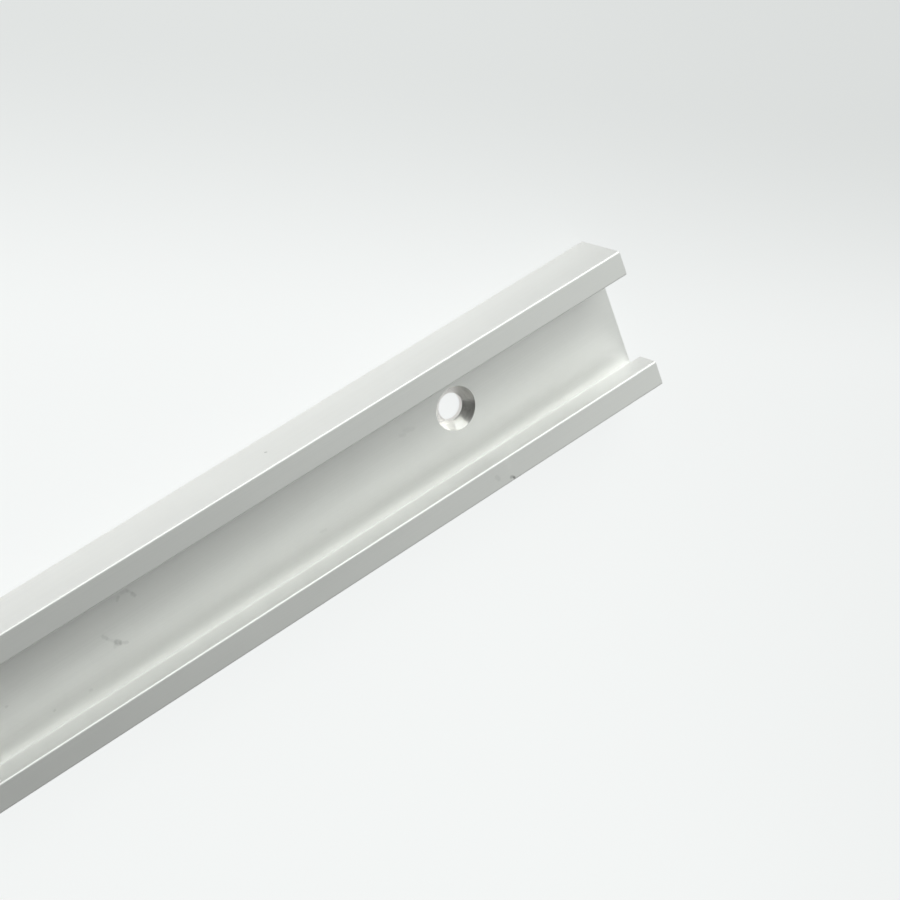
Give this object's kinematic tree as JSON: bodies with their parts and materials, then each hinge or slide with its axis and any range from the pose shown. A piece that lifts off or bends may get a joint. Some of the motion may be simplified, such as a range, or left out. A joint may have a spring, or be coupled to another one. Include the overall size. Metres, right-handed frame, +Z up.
{
  "type": "t-track",
  "caption": "Straight aluminium T-track with an open top slot, a wider channel under its lips and a row of countersunk screw holes in its floor, for jigs and fixtures.",
  "frame": {"origin": "middle of the underside", "axes": "+X along the track, +Y across it, +Z up from the underside to the open side of the slot"},
  "size_m": [0.6, 0.03, 0.0125],
  "materials": {
    "anodised": "satin clear anodised"
  },
  "bodies": {
    "root": {"rail": "anodised"}
  },
  "joints": []
}
